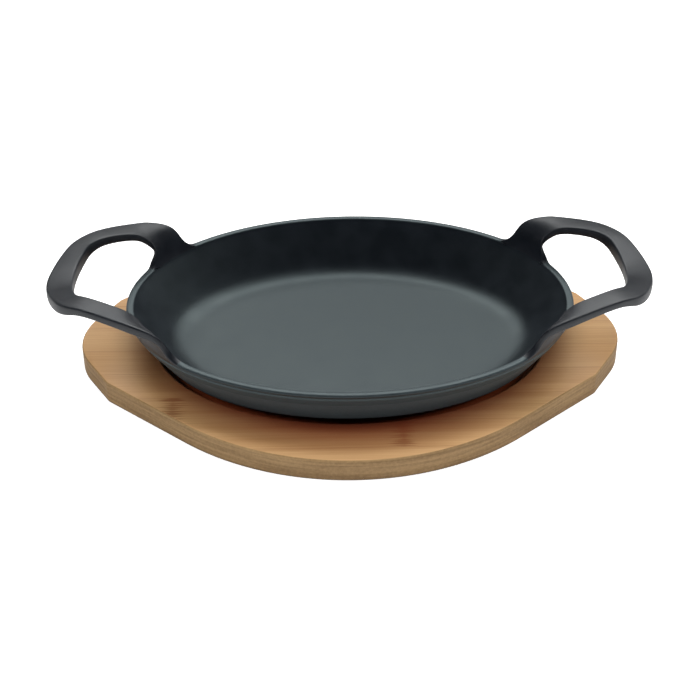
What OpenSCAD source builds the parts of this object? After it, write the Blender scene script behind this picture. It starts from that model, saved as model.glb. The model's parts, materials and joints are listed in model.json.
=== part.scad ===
// Oval cast-iron pan with two raised loop handles, standing loose in the
// shallow recess of a laminated bamboo board.
// Lengths in millimetres, X along the pan and its handles, Z up, origin under
// the middle of the board.

/* [Pan] */
// Length of the pan over its rim, without the handles
rim_length = 240; // [210:1:260]
// Width of the pan over its rim
rim_width = 168; // [150:1:180]
// Height of the pan from its base to the top of its rim
pan_height = 30; // [26:0.5:42]
// Thickness of the pan's floor
floor_thick = 4; // [2.5:0.1:6]
// Thickness of the pan's wall, square to the wall
wall_thick = 3.8; // [3:0.1:4.6]
// Angle of the wall above level, at the pan's sides
wall_angle = 60; // [52:1:70]
// How much more the wall leans at the pan's ends than at its sides
end_slope = 1.2; // [1:0.05:1.35]
// Radius of the bend from floor to wall, inside
inner_bend = 19; // [10:0.5:24]
// Radius of the bend from base to wall, outside
outer_bend = 10; // [5:0.5:14]

/* [Rim] */
// Width of the rounded lip on top of the wall
lip_width = 3.6; // [3:0.1:4.4]
// Height of the rounded lip
lip_drop = 2.6; // [1.6:0.1:4]
// Height of the plain collar that runs round the wall under the rim
collar_height = 9.5; // [6:0.5:14]
// How far the collar stands out from the wall below it
collar_proud = 0.5; // [0.2:0.1:1]

/* [Handles] */
// Gap for the fingers, from the rim's end to the bar
finger_gap = 26.2; // [22:0.2:36]
// Distance between the two arms of a handle where they leave their ears
arm_spread = 86; // [80:1:94]
// Height of the arms over the rim
handle_rise = 22; // [14:0.5:30]
// Width of an arm
arm_width = 11.4; // [9:0.2:13]
// Thickness of an arm along the finger gap
arm_thick = 4.6; // [3.6:0.1:6]
// Width of the bar
bar_width = 15; // [12:0.2:18]
// Thickness of the bar along the finger gap
bar_thick = 8.6; // [6.6:0.1:10]
// How much lower the bar's top lies along its outer edge than along the finger gap
bar_drop = 4.4; // [0:0.1:5]
// How far the edges of the handle are rounded, seen from above
edge_round = 1.4; // [0.6:0.1:2]
// Height of the crown along the middle of the handle's top
crown_height = 0.5; // [0:0.1:1.2]

/* [Ears] */
// Angle round the rim at which the ear begins, at the finger gap
ear_start_angle = 23.5; // [20:0.5:26]
// Angle round the rim at which the ear ends, at the pan's side
ear_end_angle = 43.5; // [41:0.5:46]
// How far the ear's edge at the finger gap keeps the direction that it leaves the rim in
ear_gap_pull = 4; // [0:0.5:8]
// How far the ear's edge at the pan's side keeps it
ear_side_pull = 42; // [34:1:50]
// How far the arm keeps its own direction back into the ear, at the finger gap
arm_gap_pull = 14; // [8:1:20]
// How far the arm keeps it at the pan's side
arm_side_pull = 70; // [58:1:80]

/* [Board] */
// How far the board reaches beyond the rim at the pan's ends
end_margin = 26; // [20:1:34]
// How far the board reaches beyond the rim at the pan's sides
side_margin = 20; // [14:1:26]
// Thickness of one of the board's two bamboo layers
layer_thick = 6.5; // [5.5:0.1:9]
// Number of strip widths across the board
strip_count = 10; // [8:1:12]
// Radius of the board's rounded ends
end_radius = 38; // [34:0.5:42]
// Angle of the straight flanks to the board's long axis
flank_angle = 39.4; // [36:0.2:42]
// Distance of a corner from the tip of the board, along the board
corner_inset = 17; // [15:0.5:19]
// Distance of a corner from the board's long axis
corner_offset = 38; // [36:0.5:40]
// Rounding of the corners
corner_radius = 4.5; // [2:0.5:6]

/* [Recess] */
// Depth of the recess that the pan stands in
recess_depth = 5; // [2:0.1:5.4]
// Gap round the pan at the top of the recess
recess_gap = 5; // [2:0.5:6]

/* [Hidden] */
board_length = rim_length + 2 * end_margin;
board_width = rim_width + 2 * side_margin;
board_thick = 2 * layer_thick;
strip_width = board_width / strip_count;
base_z = board_thick - recess_depth;
floor_z = base_z + floor_thick;
rim_z = base_z + pan_height;
collar_z = rim_z - collar_height;

// Steps round a quarter of the rim: at the finger gap, along an ear, at the side
gap_steps = 5;
ear_steps = 6;
side_steps = 9;
quarter_steps = gap_steps + ear_steps + side_steps;
ring_steps = 4 * quarter_steps;
// Steps round the bends of the pan's wall, along an ear and between two rows of an arm
bend_steps = 4;
root_steps = 6;
arm_steps = 4;
// Steps round the curves of the board
end_steps = 16;
side_arc_steps = 40;
corner_steps = 5;
// Facets of the recess
recess_facets = 120;

// Section of the lip from its outer to its inner edge: place across the lip
// and depth under the rim's top
lip_shares = [[0.08, 1], [0, 0.46], [0.25, 0.06], [0.66, 0], [1, 0.38]];

// A handle from its ear to the middle of its bar: reach towards the bar,
// place between the handle's middle and the arm, height over the rim, and
// then how much of the bar's width, thickness and drop the row has
handle_shares = [
    [-0.29, 1, 0.88, 0.75, -0.1, -0.3],
    [-0.07, 0.95, 0.935, 0.2, -0.1, -0.1],
    [0.24, 0.85, 1, 0, 0, 0.2],
    [0.52, 0.74, 1.01, 0, 0.2, 0.35],
    [0.75, 0.615, 0.93, 0.2, 1, 0.5],
    [0.885, 0.425, 0.82, 0.45, 1.35, 0.7],
    [0.97, 0.21, 0.72, 0.8, 1.15, 0.9],
    [1, 0, 0.69, 1, 1, 1]];

// Side of the handle from top to bottom: depth in the thickness and how
// much of the edge rounding is left
side_shares = [[0, 1], [0.2, 0.25], [0.5, 0], [0.8, 0.25], [1, 1]];

// How much the ear's edges lean along the rim, towards the middle of the ear,
// where they leave the rim: at the finger gap and at the pan's side
gap_lean_share = 0.15;
side_lean_share = 1.7;

// Last rows of the three lists above
last_lip = len(lip_shares) - 1;
last_side = len(side_shares) - 1;
last_row = len(handle_shares) - 1;

function unit(v) = v / norm(v);
function mix(a, b, share) = a + (b - a) * share;
function ease(share) = share * share * (3 - 2 * share);
function last(list) = list[len(list) - 1];

// The wall in section. A place is [inset from the rim's outline, height].
wall_up = [-cos(wall_angle), sin(wall_angle)];
wall_out = [-sin(wall_angle), -cos(wall_angle)];
lip_section = [for (s = lip_shares) [lip_width * s[0], rim_z - lip_drop * s[1]]];
inner_top = last(lip_section);
outer_top = inner_top + wall_thick * wall_out;
function wall_at(top, z) = [top[0] + (top[1] - z) / tan(wall_angle), z];
function bend_centre(top, low_z, radius) =
    wall_at(top, low_z + radius * (1 - cos(wall_angle))) - radius * wall_out;
function bend_point(centre, radius, angle) = centre + radius * [-sin(angle), -cos(angle)];
function bend(top, low_z, radius) = [
    for (i = [0:bend_steps])
        bend_point(bend_centre(top, low_z, radius), radius, wall_angle * i / bend_steps)];
function reversed(list) = [for (i = [len(list) - 1:-1:0]) list[i]];

bowl_section = concat(
    bend(outer_top, base_z, outer_bend),
    [wall_at(outer_top, collar_z - collar_proud)],
    [wall_at(outer_top, collar_z) - [collar_proud, 0]],
    lip_section,
    reversed(bend(inner_top, floor_z, inner_bend)));

// The pan in plan
function on_ring(place, angle) = [
    (rim_length / 2 - end_slope * place[0]) * cos(angle),
    (rim_width / 2 - place[0]) * sin(angle),
    place[1]];
function ring_normal(angle) = unit([cos(angle) / rim_length, sin(angle) / rim_width, 0]);
function ring_tangent(angle) = unit([-rim_length * sin(angle), rim_width * cos(angle), 0]);
function ear_angle(across) = mix(ear_start_angle, ear_end_angle, across);
quarter_angles = concat(
    [for (i = [0:gap_steps - 1]) ear_start_angle * i / gap_steps],
    [for (i = [0:ear_steps - 1]) ear_angle(i / ear_steps)],
    [for (i = [0:side_steps]) mix(ear_end_angle, 90, i / side_steps)]);
function ring_angle(i) =
    i <= quarter_steps ? quarter_angles[i] :
    i <= 2 * quarter_steps ? 180 - quarter_angles[2 * quarter_steps - i] :
    180 + ring_angle(i - 2 * quarter_steps);
ring_angles = [for (i = [0:ring_steps - 1]) ring_angle(i)];

// Two triangles for the corners a, b, c, d of a four-sided face, cut from a
// to c, or from b to d where the face lies mirrored
function quad(a, b, c, d, mirrored = false) =
    mirrored ? [[a, b, d], [b, c, d]] : [[a, b, c], [a, c, d]];

bowl_points = concat(
    [[0, 0, base_z]],
    [for (place = bowl_section) for (angle = ring_angles) on_ring(place, angle)],
    [[0, 0, floor_z]]);
function bowl_index(row, i) = 1 + row * ring_steps + i % ring_steps;
top_ring = len(bowl_section) - 1;
bowl_faces = concat(
    [for (i = [0:ring_steps - 1]) [0, bowl_index(0, i), bowl_index(0, i + 1)]],
    [for (row = [0:top_ring - 1]) for (i = [0:ring_steps - 1])
        each quad(bowl_index(row, i), bowl_index(row + 1, i),
            bowl_index(row + 1, i + 1), bowl_index(row, i + 1),
            floor(i / quarter_steps) % 2 == 1)],
    [for (i = [0:ring_steps - 1])
        [len(bowl_points) - 1, bowl_index(top_ring, i + 1), bowl_index(top_ring, i)]]);

// The handle's centre line: place, width, thickness and drop
bar_reach = finger_gap + bar_width / 2;
handle_rows = [for (s = handle_shares) [
    rim_length / 2 + bar_reach * s[0],
    arm_spread / 2 * s[1],
    rim_z + handle_rise * s[2],
    mix(arm_width, bar_width, s[3]),
    mix(arm_thick, bar_thick, s[4]),
    bar_drop * s[5]]];
function row_across(row) = [row[0], -row[1], row[2], row[3], row[4], row[5]];
function handle_row(i) =
    i < 0 ? 2 * handle_rows[0] - handle_rows[1] :
    i > last_row ? row_across(handle_rows[2 * last_row - i]) : handle_rows[i];
function through(a, b, c, d, t) =
    (2 * b + (c - a) * t + (2 * a - 5 * b + 4 * c - d) * t * t
        + (3 * b - a - 3 * c + d) * t * t * t) / 2;
arm_line = concat(
    [for (i = [0:last_row - 1]) for (k = [0:arm_steps - 1])
        through(handle_row(i - 1), handle_row(i), handle_row(i + 1), handle_row(i + 2),
            k / arm_steps)],
    [handle_rows[last_row]]);
last_arm = len(arm_line) - 1;
function flat(v) = [v[0], v[1]];
function arm_along(i) =
    i == last_arm ? [0, -1] : unit(flat(arm_line[i + 1] - arm_line[max(i - 1, 0)]));
function arm_outward(i) = [-arm_along(i)[1], arm_along(i)[0], 0];
function arm_centre(i) = [arm_line[i][0], arm_line[i][1], arm_line[i][2]];

// Top and underside of an arm, across from the finger gap (0) to the outside (1)
function arm_top(i, across) =
    arm_centre(i)
    + arm_outward(i) * (across - 1 / 2) * (arm_line[i][3] - 2 * edge_round)
    - [0, 0, (across - 1 / 2) * arm_line[i][5]]
    + [0, 0, crown_height * 4 * across * (1 - across)];
function arm_under(i, across) =
    arm_centre(i)
    + arm_outward(i) * (across - 1 / 2) * (arm_line[i][3] - 2 * edge_round)
    - [0, 0, arm_line[i][4] - arm_line[i][5] / 2];

// Top and underside of an ear, from the rim's lip up into the arm
ear_into = unit(arm_centre(1) - arm_centre(0));
function ear_out_of(across) = unit(
    -wall_up[0] * ring_normal(ear_angle(across)) + [0, 0, wall_up[1]]
    + ring_tangent(ear_angle(across)) * mix(gap_lean_share, -side_lean_share, across));
function blend(from, to, from_pull, to_pull, t) =
    from * (2 * t * t * t - 3 * t * t + 1) + to * (3 * t * t - 2 * t * t * t)
    + from_pull * (t * t * t - 2 * t * t + t) + to_pull * (t * t * t - t * t);
function ear_line(place, goal, across, t) = blend(
    on_ring(place, ear_angle(across)), goal,
    ear_out_of(across) * mix(ear_gap_pull, ear_side_pull, across),
    ear_into * mix(arm_gap_pull, arm_side_pull, across), t);
function ear_top(t, across) =
    ear_line(lip_section[last_lip], arm_top(0, across), across, t);
function ear_under(t, across) =
    ear_line(lip_section[0], arm_under(0, across), across, t);

// The rounded side of a station between its top and underside
function arm_bulge(i, side, j) = arm_outward(i) * side * edge_round * (1 - side_shares[j][1]);
function lip_bulge(across, j) =
    on_ring(lip_section[last_lip - j], ear_angle(across))
    - mix(ear_top(0, across), ear_under(0, across), side_shares[j][0]);
function arm_side(i, across, j) =
    mix(arm_top(i, across), arm_under(i, across), side_shares[j][0])
    + arm_bulge(i, 2 * across - 1, j);
function ear_side(t, across, j) =
    mix(ear_top(t, across), ear_under(t, across), side_shares[j][0])
    + mix(lip_bulge(across, j), arm_bulge(0, 2 * across - 1, j), ease(t));

// One closed loop round the strap at each station: over the top, down the
// outside, back along the underside and up the side of the finger gap
across_shares = [for (i = [0:ear_steps]) i / ear_steps];
function ear_station(t) = concat(
    [for (across = across_shares) ear_top(t, across)],
    [for (j = [1:last_side - 1]) ear_side(t, 1, j)],
    [for (across = reversed(across_shares)) ear_under(t, across)],
    [for (j = [last_side - 1:-1:1]) ear_side(t, 0, j)]);
function arm_station(i) = concat(
    [for (across = across_shares) arm_top(i, across)],
    [for (j = [1:last_side - 1]) arm_side(i, 1, j)],
    [for (across = reversed(across_shares)) arm_under(i, across)],
    [for (j = [last_side - 1:-1:1]) arm_side(i, 0, j)]);
function loop_across(points) = [for (p = points) [p[0], -p[1], p[2]]];
half_stations = concat(
    [for (i = [0:root_steps - 1]) ear_station(i / root_steps)],
    [for (i = [0:last_arm]) arm_station(i)]);
last_half = len(half_stations) - 1;
stations = concat(
    half_stations,
    [for (i = [last_half - 1:-1:0]) loop_across(half_stations[i])]);
loop_size = len(stations[0]);
last_station = len(stations) - 1;

// The cap that lies on the rim's lip, with the same triangles as the lip
cap_inside = [
    for (j = [1:last_side - 1]) for (i = [1:ear_steps - 1])
        on_ring(lip_section[last_lip - j], ear_angle(i / ear_steps))];
function loop_index(i, j) =
    j == 0 ? i :
    j == last_side ? 2 * ear_steps + last_side - i :
    i == ear_steps ? ear_steps + j :
    loop_size - j;
function cap_index(i, j, first, inside) =
    i > 0 && i < ear_steps && j > 0 && j < last_side ?
        inside + (j - 1) * (ear_steps - 1) + i - 1 :
        first + loop_index(i, j);
function cap_faces(first, inside, mirrored) = [
    for (i = [0:ear_steps - 1]) for (j = [0:last_side - 1])
        let (
            a = cap_index(i, j + 1, first, inside),
            b = cap_index(i, j, first, inside),
            c = cap_index(i + 1, j, first, inside),
            d = cap_index(i + 1, j + 1, first, inside))
        each (mirrored ? quad(a, b, c, d) : quad(a, d, c, b))];

handle_points = concat(
    [for (loop = stations) each loop],
    cap_inside,
    loop_across(cap_inside));
first_inside = len(stations) * loop_size;
function strap_index(station, i) = station * loop_size + i % loop_size;
handle_faces = concat(
    [for (s = [0:last_station - 1]) for (i = [0:loop_size - 1])
        each quad(strap_index(s, i), strap_index(s, i + 1),
            strap_index(s + 1, i + 1), strap_index(s + 1, i), s >= last_station / 2)],
    cap_faces(0, first_inside, false),
    cap_faces(last_station * loop_size, first_inside + len(cap_inside), true));

// The board in plan: one quarter from the tip to the middle of the long side
tip_centre = [board_length / 2 - end_radius, 0];
corner = [board_length / 2 - corner_inset, corner_offset];
// The arc of the long side meets the straight flank from the corner smoothly
side_radius = (corner[0] * sin(flank_angle)
    - (board_width / 2 - corner[1]) * cos(flank_angle)) / (1 - cos(flank_angle));
side_centre = [0, board_width / 2 - side_radius];
side_angle = 90 - flank_angle;
// Direction from the tip's centre to where the line from the corner touches its arc
end_angle = atan2(corner[1] - tip_centre[1], corner[0] - tip_centre[0])
    - acos(end_radius / norm(corner - tip_centre));
function round_at(centre, radius, angle) = centre + radius * [cos(angle), sin(angle)];
// The corner's own rounding, between the two straight stretches
corner_end = unit(round_at(tip_centre, end_radius, end_angle) - corner);
corner_side = unit(round_at(side_centre, side_radius, side_angle) - corner);
corner_half = acos(corner_end * corner_side) / 2;
corner_centre = corner + unit(corner_end + corner_side) * corner_radius / sin(corner_half);
quarter_outline = concat(
    [for (i = [0:end_steps]) round_at(tip_centre, end_radius, end_angle * i / end_steps)],
    [for (i = [0:corner_steps])
        round_at(corner_centre, corner_radius, mix(end_angle, side_angle, i / corner_steps))],
    [for (i = [0:side_arc_steps])
        round_at(side_centre, side_radius, mix(side_angle, 90, i / side_arc_steps))]);
function mirror_x(points) = [for (p = points) [-p[0], p[1]]];
function mirror_y(points) = [for (p = points) [p[0], -p[1]]];
function without_ends(points) = [for (i = [1:len(points) - 2]) points[i]];
function without_last(points) = [for (i = [0:len(points) - 2]) points[i]];
board_outline = concat(
    without_last(quarter_outline),
    mirror_x(reversed(quarter_outline)),
    mirror_x(mirror_y(without_ends(quarter_outline))),
    mirror_y(without_last(reversed(quarter_outline))));

// The recess follows the pan's outline at the board's top
recess_place = wall_at(outer_top, board_thick);
recess_half_length = on_ring(recess_place, 0)[0] + recess_gap;
recess_half_width = on_ring(recess_place, 90)[1] + recess_gap;
// Overrun of every cut past the face that it cuts through
overrun = 1;

upper_names = [for (i = [0:strip_count]) str("upper_strip_", i + 1)];
lower_names = [for (i = [1:strip_count]) str("lower_strip_", i)];

module pan_bowl() {
    color("#3d4344")
        polyhedron(points = bowl_points, faces = bowl_faces, convexity = 4);
}

module right_handle() {
    color("#35393a")
        polyhedron(points = handle_points, faces = handle_faces, convexity = 6);
}

module left_handle() {
    mirror([1, 0, 0])
        right_handle();
}

// One bamboo strip: the stretch of the board's outline from low_y to high_y
module strip(low_y, high_y, low_z) {
    intersection() {
        translate([0, 0, low_z])
            linear_extrude(layer_thick)
                polygon(board_outline);
        translate([-board_length / 2 - overrun, low_y, low_z - overrun])
            cube([board_length + 2 * overrun, high_y - low_y, layer_thick + 2 * overrun]);
    }
}

module recess() {
    translate([0, 0, base_z])
        scale([recess_half_length, recess_half_width, recess_depth + overrun])
            cylinder(r = 1, h = 1, $fn = recess_facets);
}

// The upper layer begins and ends with a strip of half the width, so that no
// joint lies over another
module upper_strip(number) {
    low_y = (number - 1 / 2) * strip_width - board_width / 2;
    color("#c59a68")
        difference() {
            strip(
                number == 0 ? -board_width / 2 - overrun : low_y,
                number == strip_count ? board_width / 2 + overrun : low_y + strip_width,
                layer_thick);
            recess();
        }
}

module lower_strip(number) {
    low_y = (number - 1) * strip_width - board_width / 2;
    color("#b58a58")
        strip(
            number == 1 ? low_y - overrun : low_y,
            number == strip_count ? low_y + strip_width + overrun : low_y + strip_width,
            0);
}

pan_bowl();
left_handle();
right_handle();
for (i = [0:strip_count])
    upper_strip(i);
for (i = [1:strip_count])
    lower_strip(i);
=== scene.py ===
import json
import math

import bmesh
import bpy
from mathutils import Matrix, Vector

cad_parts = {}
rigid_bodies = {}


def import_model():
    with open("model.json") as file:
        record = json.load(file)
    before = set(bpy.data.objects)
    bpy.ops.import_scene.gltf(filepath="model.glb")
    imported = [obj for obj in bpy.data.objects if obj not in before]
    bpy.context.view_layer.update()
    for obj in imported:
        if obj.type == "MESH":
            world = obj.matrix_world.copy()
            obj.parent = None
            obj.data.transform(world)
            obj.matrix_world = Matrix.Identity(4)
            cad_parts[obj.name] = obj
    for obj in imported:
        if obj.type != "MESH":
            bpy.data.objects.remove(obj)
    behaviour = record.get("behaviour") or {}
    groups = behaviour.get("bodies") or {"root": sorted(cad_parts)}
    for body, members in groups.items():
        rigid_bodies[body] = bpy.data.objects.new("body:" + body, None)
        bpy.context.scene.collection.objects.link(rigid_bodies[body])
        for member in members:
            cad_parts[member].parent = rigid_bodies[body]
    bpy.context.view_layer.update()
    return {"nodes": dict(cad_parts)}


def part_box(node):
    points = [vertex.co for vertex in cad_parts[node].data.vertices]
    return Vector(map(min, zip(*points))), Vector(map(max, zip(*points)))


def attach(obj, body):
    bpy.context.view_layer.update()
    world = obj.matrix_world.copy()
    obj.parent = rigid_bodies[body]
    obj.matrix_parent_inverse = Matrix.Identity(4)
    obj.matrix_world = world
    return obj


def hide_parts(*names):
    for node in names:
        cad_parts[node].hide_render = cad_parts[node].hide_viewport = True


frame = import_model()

# An oval cast-iron serving pan with two raised loop handles, standing loose in
# the recess of a laminated bamboo board. Lengths are in millimetres here and
# become metres where a mesh is made.
MM = 0.001

# A point this near a plane lies on it
ON_PLANE = 0.01


# Small tools

def mix(a, b, share):
    return a + (b - a) * share


def select_only(piece):
    bpy.ops.object.select_all(action="DESELECT")
    piece.select_set(True)
    bpy.context.view_layer.objects.active = piece


def open_mesh(piece, kind):
    """Edit mode on one piece, with nothing selected; kind is VERT, EDGE or FACE."""
    select_only(piece)
    bpy.ops.object.mode_set(mode="EDIT")
    bpy.ops.mesh.select_mode(type=kind)
    bpy.ops.mesh.select_all(action="DESELECT")


def close_mesh():
    bpy.ops.object.mode_set(mode="OBJECT")


def pick(piece, kind, wanted):
    """In edit mode, selects the faces, edges or vertices that wanted() is true for."""
    bpy.ops.mesh.select_all(action="DESELECT")
    mesh = bmesh.from_edit_mesh(piece.data)
    for part in {"VERT": mesh.verts, "EDGE": mesh.edges, "FACE": mesh.faces}[kind]:
        if wanted(part):
            part.select_set(True)
    mesh.select_flush_mode()
    bmesh.update_edit_mesh(piece.data)


def separate(piece, kind):
    """Separates a piece by MATERIAL or into LOOSE parts, and returns them all."""
    before = set(bpy.data.objects)
    open_mesh(piece, "FACE")
    bpy.ops.mesh.select_all(action="SELECT")
    bpy.ops.mesh.separate(type=kind)
    close_mesh()
    return [piece] + [new for new in bpy.data.objects if new not in before]


def apply_modifier(piece, kind, **settings):
    select_only(piece)
    modifier = piece.modifiers.new(kind.lower(), kind)
    for name, value in settings.items():
        setattr(modifier, name, value)
    bpy.ops.object.modifier_apply(modifier=modifier.name)


# The bowl's sizes

bowl_low, bowl_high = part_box("pan_bowl")
RIM_HALF_LENGTH = bowl_high[0] / MM
RIM_HALF_WIDTH = bowl_high[1] / MM
BASE_Z = bowl_low[2] / MM
RIM_Z = bowl_high[2] / MM
FLOOR_THICK = 4
FLOOR_Z = BASE_Z + FLOOR_THICK
WALL_THICK = 3.8
WALL_ANGLE = math.radians(60)
INNER_ANGLE = math.radians(54.5)
INNER_BEND = 12
OUTER_BEND = 10
BEND_STEPS = 4

# How much more a ring shrinks in half its length than in half its width, as the
# wall is less steep at the bowl's ends
END_SLOPE = 1.2

# The middle of the wall, carried on upwards, meets the rim's outline this far
# above the rim
MIDDLE_RISE = 2

# The collar is the band below the lip that stands a little proud of the wall
COLLAR_HEIGHT = 9.5
COLLAR_Z = RIM_Z - COLLAR_HEIGHT

# A place in the bowl's section is an inset from the rim's outline and a height.
# The lip goes from the wall's outer side over the top to its inner side.
LIP = [
    (0.35, RIM_Z - 2.2), (0, RIM_Z - 1.3), (0.15, RIM_Z - 0.45), (0.8, RIM_Z),
    (2.7, RIM_Z), (3.35, RIM_Z - 0.3), (3.6, RIM_Z - 1)]
UNDERCUT = [(1.3, RIM_Z - 2.7), (1.4, RIM_Z - 3.4)]

# Rings between these forms: on the floor and base as insets, on the walls as heights
FLOOR_RINGS = (62, 44, 33)
INNER_WALL_RINGS = (22, 27, 32, 35.3)
COLLAR_RINGS = (33.6, 31)
OUTER_WALL_RINGS = (25, 19)
BASE_RINGS = (26, 44, 62)


def wall_at(top, z, slope=WALL_ANGLE):
    return (top[0] + (top[1] - z) / math.tan(slope), z)


def bend(top, low_z, radius, slope):
    """The round between floor and wall, from the floor upwards."""
    join = wall_at(top, low_z + radius * (1 - math.cos(slope)), slope)
    centre = (join[0] + radius * math.sin(slope), join[1] + radius * math.cos(slope))
    angles = [slope * i / BEND_STEPS for i in range(BEND_STEPS + 1)]
    return [(centre[0] - radius * math.sin(a), centre[1] - radius * math.cos(a)) for a in angles]


inner_top = LIP[-1]
outer_top = (
    inner_top[0] - WALL_THICK * math.sin(WALL_ANGLE),
    inner_top[1] - WALL_THICK * math.cos(WALL_ANGLE))

# The step from the collar's lower edge back to the wall
collar_inset = wall_at(outer_top, COLLAR_Z)[0]
COLLAR_STEP = [
    (collar_inset - 0.62, COLLAR_Z + 0.7), (collar_inset - 0.42, COLLAR_Z + 0.1),
    (collar_inset + 0.2, COLLAR_Z - 0.25), (collar_inset + 0.72, COLLAR_Z - 0.9)]

# The whole section, from the middle of the floor outwards, up, over the lip
# and down to the middle of the base
SECTION = (
    [(inset, FLOOR_Z) for inset in FLOOR_RINGS]
    + bend(inner_top, FLOOR_Z, INNER_BEND, INNER_ANGLE)
    + [wall_at(inner_top, z, INNER_ANGLE) for z in INNER_WALL_RINGS]
    + LIP[::-1]
    + UNDERCUT
    + [wall_at(outer_top, z) for z in COLLAR_RINGS]
    + COLLAR_STEP
    + [wall_at(outer_top, z) for z in OUTER_WALL_RINGS]
    + bend(outer_top, BASE_Z, OUTER_BEND, WALL_ANGLE)[::-1]
    + [(inset, BASE_Z) for inset in BASE_RINGS])

# A ring has this many equal steps, counted from the pan's right end, and an ear
# grows out of the rim between two of them
RING_STEPS = 112
EAR_FIRST = 7
EAR_STEPS = 6


def ring_axes(place):
    """Half the length and half the width of the ring through a place, in metres."""
    return (
        (RIM_HALF_LENGTH - END_SLOPE * place[0]) * MM,
        (RIM_HALF_WIDTH - place[0]) * MM)


def on_ring(place, step):
    angle = math.tau * step / RING_STEPS
    half_length, half_width = ring_axes(place)
    return Vector((half_length * math.cos(angle), half_width * math.sin(angle), place[1] * MM))


# The handle's sizes

# The finger gap is clear between rim and bar, the spread is between the arms'
# centre lines at the ears, the bar's outer edge drops below its inner one, and
# the crown is how far the top is domed
FINGER_GAP = 26.2
ARM_SPREAD = 86
HANDLE_RISE = 22
ARM_WIDTH = 11.4
ARM_THICK = 5
BAR_WIDTH = 15
BAR_THICK = 7.4
BAR_DROP = 2
EDGE_ROUND = 1.1
CROWN = 0.2
ROOT_STEPS = 6
ARM_STEPS = 3

# How strongly the ear keeps the direction in which it leaves the lip, and the
# one in which it arrives at the arm, by the finger gap and on the outer side,
# and how far its two edges lean towards its middle as they leave the lip
EAR_GAP_PULL = 20
EAR_SIDE_PULL = 42
ARM_GAP_PULL = 14
ARM_SIDE_PULL = 70
GAP_LEAN = 1.3
SIDE_LEAN = 1.7

# At the ear the arm turns down on the side of the finger gap, which rounds the
# gap's corner: how far down, over how many rows, and the length of a row
GAP_SINK = 4.5
SINK_ROWS = 4
ROW_LENGTH = 2.5

# From the ear to the middle of the bar: reach, spread, height, and how much of
# the bar's width, thickness and drop the row has
HANDLE_SHARES = [
    (-0.29, 1, 0.88, 0.75, -0.1, -0.3),
    (-0.07, 0.95, 0.935, 0.2, -0.1, -0.1),
    (0.24, 0.85, 1, 0, 0, 0.2),
    (0.52, 0.74, 1.01, 0, 0.2, 0.35),
    (0.75, 0.615, 0.93, 0.2, 1, 0.5),
    (0.885, 0.425, 0.82, 0.45, 1.35, 0.7),
    (0.97, 0.21, 0.72, 0.8, 1.15, 0.9),
    (1, 0, 0.69, 1, 1, 1)]

# The handle's side from top to bottom: depth and how much rounding is left. It
# has as many points as the lip.
SIDE_SHARES = [(0, 1), (0.05, 0.45), (0.17, 0.1), (0.5, 0), (0.83, 0.1), (0.95, 0.45), (1, 1)]

# The rows of points across the handle from the finger gap outwards, one for each
# end of the ear's steps, and close together at the edges so that these stay crisp
ACROSS_SHARES = [0, 0.07, 0.28, 0.5, 0.72, 0.93, 1]


class ArmRow:
    """One place on the handle's centre line, in millimetres."""

    def __init__(self, numbers):
        self.centre = Vector(numbers[:3])
        self.width, self.thick, self.drop = numbers[3:]


def curve_through(a, b, c, d, t):
    """A share t of the way from b to c, on a smooth curve through all four numbers."""
    return (
        2 * b + (c - a) * t + (2 * a - 5 * b + 4 * c - d) * t * t
        + (3 * b - a - 3 * c + d) * t * t * t) / 2


def arm_rows():
    reach = FINGER_GAP + BAR_WIDTH / 2
    rows = [
        [RIM_HALF_LENGTH + reach * s[0], ARM_SPREAD / 2 * s[1], RIM_Z + HANDLE_RISE * s[2],
         mix(ARM_WIDTH, BAR_WIDTH, s[3]), mix(ARM_THICK, BAR_THICK, s[4]), BAR_DROP * s[5]]
        for s in HANDLE_SHARES]
    # One row more at each end: straight on at the ear, and the mirror image at the bar
    before = [2 * a - b for a, b in zip(rows[0], rows[1])]
    after = [-n if i == 1 else n for i, n in enumerate(rows[-2])]
    rows = [before] + rows + [after]
    smooth = [
        [curve_through(*numbers, step / ARM_STEPS) for numbers in zip(*rows[i - 1:i + 3])]
        for i in range(1, len(rows) - 2) for step in range(ARM_STEPS)]
    smooth.append(rows[-2])
    return [ArmRow(numbers) for numbers in smooth]


def outward(rows, i):
    """Level direction across the arm, away from the finger gap."""
    if i == len(rows) - 1:
        return Vector((1, 0, 0))
    along = rows[i + 1].centre - rows[max(i - 1, 0)].centre
    along.z = 0
    along.normalize()
    return Vector((-along.y, along.x, 0))


def arm_section(rows, i):
    """Grid of points across the arm: [place across][depth from the top]."""
    row, side = rows[i], outward(rows, i)
    sink = GAP_SINK * max(0, 1 - i / SINK_ROWS) ** 2
    grid = []
    for k, across in enumerate(ACROSS_SHARES):
        flat = row.centre + side * (across - 0.5) * (row.width - 2 * EDGE_ROUND)
        flat.z -= sink * (1 - across) ** 2
        top = flat + Vector((0, 0, CROWN * 4 * across * (1 - across) - (across - 0.5) * row.drop))
        under = flat - Vector((0, 0, row.thick - row.drop / 2))
        edge = {0: -1, EAR_STEPS: 1}.get(k, 0)
        grid.append([
            mix(top, under, depth) + side * edge * EDGE_ROUND * (1 - left)
            for depth, left in SIDE_SHARES])
    return grid


def lip_section():
    return [
        [on_ring(place, EAR_FIRST + k) / MM for place in LIP[::-1]]
        for k in range(EAR_STEPS + 1)]


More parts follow.
